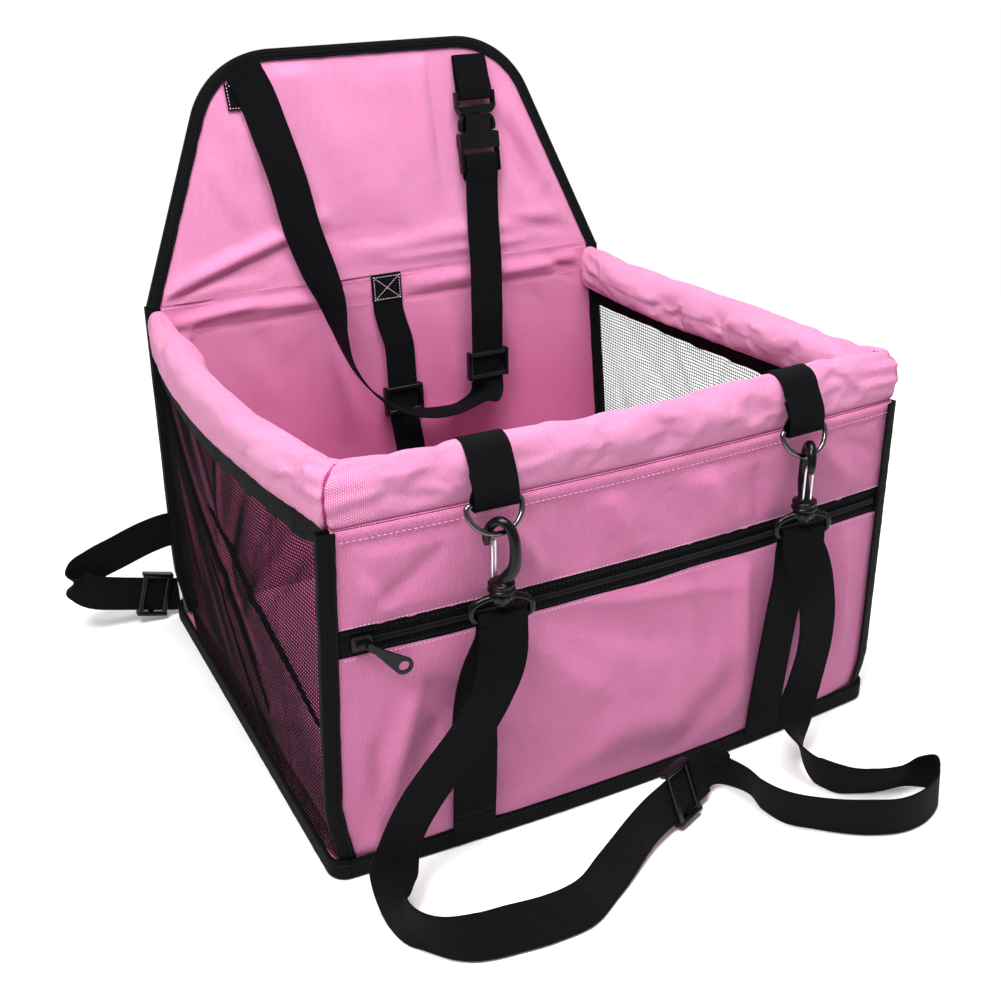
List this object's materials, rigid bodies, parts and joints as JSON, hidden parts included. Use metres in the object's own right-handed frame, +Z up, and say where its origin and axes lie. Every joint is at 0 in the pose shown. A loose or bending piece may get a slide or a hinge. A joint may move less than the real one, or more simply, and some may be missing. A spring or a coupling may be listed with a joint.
{
  "type": "pet car seat bed",
  "caption": "Box-shaped folding pet car seat bed with mesh sides, padded rim, zip pocket, upright head-restraint flap, clip-on seat straps and an inner leash.",
  "frame": {"origin": "centre of the bottom face, on the surface the bed stands on", "axes": "X to the right seen from the front, Y to the back where the flap stands, Z up"},
  "size_m": [0.4861, 0.5229, 0.4195],
  "materials": {
    "pink_cloth": "coated Oxford weave, soft sheen",
    "pink_lining": "coated Oxford weave, duller inner face",
    "black_webbing": "woven nylon webbing",
    "black_tape": "woven binding tape",
    "black_mesh": "open knitted mesh",
    "zip": "coil zip on woven tape",
    "black_plastic": "moulded, smooth",
    "dark_metal": "dark chrome plating",
    "steel_wire": "bright chromed wire",
    "stiffener": "sheet stiffener",
    "rod_plastic": "extruded tube"
  },
  "bodies": {
    "shell": {"bottom_cover": "pink_cloth", "base_board": "stiffener", "floor_lining": "pink_lining", "base_binding": "black_tape", "front_lining": "pink_lining", "front_panel": "pink_cloth", "pocket_panel": "pink_cloth", "zip_chain": "zip", "back_board": "stiffener", "back_lining": "pink_lining", "back_panel": "pink_cloth", "back_tape_left": "black_tape", "back_tape_right": "black_tape", "front_tape_left": "black_tape", "front_tape_right": "black_tape", "net_tape_left": "black_tape", "net_tape_right": "black_tape", "side_net_left": "black_mesh", "side_net_right": "black_mesh", "rim_sleeve_front": "pink_cloth", "rim_sleeve_left": "pink_cloth", "rim_sleeve_right": "pink_cloth", "rim_rod_front": "rod_plastic", "rim_rod_left": "rod_plastic", "rim_rod_right": "rod_plastic", "rim_loop_left": "black_webbing", "rim_loop_right": "black_webbing", "hook_base_left": "black_plastic", "hook_base_right": "black_plastic", "anchor_strap_left": "black_webbing", "anchor_strap_right": "black_webbing", "long_strap": "black_webbing", "rear_strap": "black_webbing", "leash_patch": "black_webbing", "leash_strap": "black_webbing", "leash_clip": "black_plastic"},
    "flap": {"flap_front_cover": "pink_cloth", "flap_board": "stiffener", "flap_back_cover": "pink_cloth", "flap_binding": "black_tape", "strap_end_patch": "black_webbing"},
    "headrest": {"buckle_tail": "black_webbing", "buckle_plug": "black_plastic", "buckle_socket": "black_plastic", "headrest_strap": "black_webbing"},
    "buckle_left_arm": {"buckle_arm_left": "black_plastic"},
    "buckle_right_arm": {"buckle_arm_right": "black_plastic"},
    "headrest_adjuster": {"headrest_adjuster": "black_plastic"},
    "leash_adjuster": {"leash_adjuster": "black_plastic"},
    "long_strap_adjuster": {"long_strap_adjuster": "black_plastic"},
    "rear_strap_adjuster": {"rear_strap_adjuster": "black_plastic"},
    "leash_gate": {"gate_leash": "steel_wire"},
    "zip_slider": {"zip_slider": "dark_metal"},
    "zip_pull": {"zip_pull": "dark_metal"},
    "ring_left": {"d_ring_left": "dark_metal"},
    "ring_right": {"d_ring_right": "dark_metal"},
    "hook_left": {"snap_hook_left": "black_plastic"},
    "hook_right": {"snap_hook_right": "black_plastic"},
    "gate_left": {"gate_left": "steel_wire"},
    "gate_right": {"gate_right": "steel_wire"}
  },
  "joints": [
    {"name": "flap_fold", "type": "hinge", "parent": "shell", "child": "flap", "pos_m": [0, 0.18872, 0.25], "axis": [1, 0, 0], "range_deg": [0, 80]},
    {"name": "headrest_hang", "type": "hinge", "parent": "flap", "child": "headrest", "pos_m": [0, 0.21402, 0.40496], "axis": [1, 0, 0], "range_deg": [-80, 0]},
    {"name": "buckle_press_right", "type": "hinge", "parent": "headrest", "child": "buckle_right_arm", "pos_m": [0.0962, 0.20178, 0.36203], "axis": [0, 0.9848, -0.1736], "range_deg": [0, 8], "stiffness_Nm_per_rad": 0.01},
    {"name": "buckle_press_left", "type": "hinge", "parent": "headrest", "child": "buckle_left_arm", "pos_m": [0.0758, 0.20178, 0.36203], "axis": [0, 0.9848, -0.1736], "range_deg": [-8, 0], "stiffness_Nm_per_rad": 0.01},
    {"name": "headrest_adjust", "type": "slide", "parent": "headrest", "child": "headrest_adjuster", "axis": [0, 0, 1], "range_m": [0, 0.016]},
    {"name": "leash_adjust", "type": "slide", "parent": "shell", "child": "leash_adjuster", "axis": [0, 0.0748, 0.9972], "range_m": [0, 0.015]},
    {"name": "long_strap_adjust", "type": "slide", "parent": "shell", "child": "long_strap_adjuster", "axis": [0.9262, 0.3771, 0], "range_m": [-0.01, 0.01]},
    {"name": "rear_strap_adjust", "type": "slide", "parent": "shell", "child": "rear_strap_adjuster", "axis": [-0.9615, -0.01, 0.2747], "range_m": [0, 0.008]},
    {"name": "leash_gate_open", "type": "hinge", "parent": "shell", "child": "leash_gate", "pos_m": [-0.0012, 0.16882, 0.0669], "axis": [0, -1, 0], "range_deg": [0, 20], "stiffness_Nm_per_rad": 0.01},
    {"name": "zip_run", "type": "hinge", "parent": "shell", "child": "zip_slider", "pos_m": [0, 2.32317, 0.1605], "axis": [0, 0, 1], "range_deg": [0, 7.9]},
    {"name": "pull_swing", "type": "hinge", "parent": "zip_slider", "child": "zip_pull", "pos_m": [-0.17462, -0.18205, 0.1605], "axis": [0.0704, 0.9975, 0], "range_deg": [-20, 40]},
    {"name": "ring_left_swing", "type": "hinge", "parent": "shell", "child": "ring_left", "pos_m": [-0.1018, -0.1876, 0.2322], "axis": [0.9992, -0.0406, 0], "range_deg": [-2, 0]},
    {"name": "ring_right_swing", "type": "hinge", "parent": "shell", "child": "ring_right", "pos_m": [0.1062, -0.1876, 0.2322], "axis": [0.9991, 0.0424, 0], "range_deg": [-3, 2]},
    {"name": "hook_left_swivel", "type": "hinge", "parent": "shell", "child": "hook_left", "pos_m": [-0.1018, -0.19582, 0.18165], "axis": [0, 0, 1], "range_deg": [-40, 0]},
    {"name": "hook_right_swivel", "type": "hinge", "parent": "shell", "child": "hook_right", "pos_m": [0.1062, -0.19582, 0.18165], "axis": [0, 0, 1], "range_deg": [-5, 40]},
    {"name": "gate_left_open", "type": "hinge", "parent": "hook_left", "child": "gate_left", "pos_m": [-0.1045, -0.1926, 0.18895], "axis": [0.766, 0.6428, 0], "range_deg": [0, 20], "stiffness_Nm_per_rad": 0.01},
    {"name": "gate_right_open", "type": "hinge", "parent": "hook_right", "child": "gate_right", "pos_m": [0.10429, -0.19956, 0.18895], "axis": [-0.891, 0.454, 0], "range_deg": [0, 20], "stiffness_Nm_per_rad": 0.01}
  ],
  "couplings": [
    {"joint": "headrest_hang", "follows": "flap_fold", "ratio": -1},
    {"joint": "buckle_press_left", "follows": "buckle_press_right", "ratio": -1}
  ]
}
